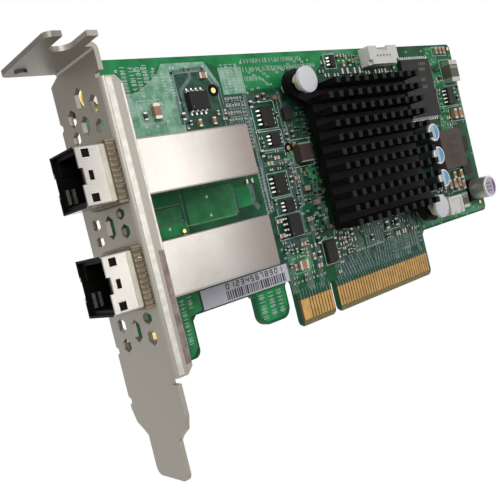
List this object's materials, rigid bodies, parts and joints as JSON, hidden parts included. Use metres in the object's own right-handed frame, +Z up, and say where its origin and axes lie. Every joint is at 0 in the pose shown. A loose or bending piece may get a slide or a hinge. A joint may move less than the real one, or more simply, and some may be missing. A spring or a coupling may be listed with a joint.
{
  "type": "storage expansion card",
  "caption": "Low-profile computer expansion card with two external high-density cable ports, a pin-fin heat sink and a slotted steel bracket.",
  "frame": {"origin": "middle of the key notch of the edge connector, on the board's mid plane, at the lower edge of the gold fingers", "axes": "+X along the board away from the bracket, +Y out of the solder side, +Z up the card from the slot towards the screw tab"},
  "size_m": [0.1435, 0.0236, 0.0801],
  "materials": {
    "aux_header": "white nylon",
    "bracket": "nickel-plated sheet steel, satin",
    "bracket_screws": "plated steel",
    "ceramic_capacitors": "tan ceramic",
    "ceramic_ends": "tinned ends",
    "circuit_board": "green solder mask over glass-epoxy laminate, satin gloss",
    "controller_chip": "black package",
    "edge_contacts": "gold-plated pads",
    "electrolytic_bases": "black base",
    "electrolytic_cans": "aluminium can",
    "flash_chip": "black epoxy",
    "flash_leads": "tinned leads",
    "header_pins": "plated pins",
    "heat_sink": "black anodised aluminium, satin",
    "inductor_terminals": "tinned pads",
    "label": "white label stock",
    "logic_chips": "black epoxy",
    "logic_leads": "tinned leads",
    "lower_cage": "matt nickel-plated sheet",
    "lower_gasket": "spring metal, brownish",
    "lower_receptacle": "black moulded plastic",
    "polymer_base": "black base",
    "polymer_can": "aluminium can",
    "port_contacts": "gold-plated contacts",
    "port_springs": "plated spring fingers",
    "power_inductor": "brown pressed powder",
    "push_pin_springs": "beige spring",
    "push_pins": "white nylon",
    "resistor_ends": "tinned ends",
    "resistors": "black film on ceramic",
    "small_inductor": "dark brown ferrite",
    "small_outline_chips": "black epoxy",
    "small_outline_leads": "tinned leads",
    "tantalum_capacitors": "grey-brown moulding",
    "tantalum_ends": "tinned ends",
    "thermal_pad": "grey pad",
    "upper_cage": "matt nickel-plated sheet",
    "upper_gasket": "spring metal, brownish",
    "upper_receptacle": "black moulded plastic",
    "wire_header": "white nylon"
  },
  "bodies": {
    "root": {"aux_header": "aux_header", "bracket": "bracket", "bracket_screws": "bracket_screws", "ceramic_capacitors": "ceramic_capacitors", "ceramic_ends": "ceramic_ends", "circuit_board": "circuit_board", "controller_chip": "controller_chip", "edge_contacts": "edge_contacts", "electrolytic_bases": "electrolytic_bases", "electrolytic_cans": "electrolytic_cans", "flash_chip": "flash_chip", "flash_leads": "flash_leads", "header_pins": "header_pins", "heat_sink": "heat_sink", "inductor_terminals": "inductor_terminals", "label": "label", "logic_chips": "logic_chips", "logic_leads": "logic_leads", "lower_cage": "lower_cage", "lower_gasket": "lower_gasket", "lower_receptacle": "lower_receptacle", "polymer_base": "polymer_base", "polymer_can": "polymer_can", "port_contacts": "port_contacts", "port_springs": "port_springs", "power_inductor": "power_inductor", "push_pin_springs": "push_pin_springs", "push_pins": "push_pins", "resistor_ends": "resistor_ends", "resistors": "resistors", "small_inductor": "small_inductor", "small_outline_chips": "small_outline_chips", "small_outline_leads": "small_outline_leads", "tantalum_capacitors": "tantalum_capacitors", "tantalum_ends": "tantalum_ends", "thermal_pad": "thermal_pad", "upper_cage": "upper_cage", "upper_gasket": "upper_gasket", "upper_receptacle": "upper_receptacle", "wire_header": "wire_header"}
  },
  "joints": []
}
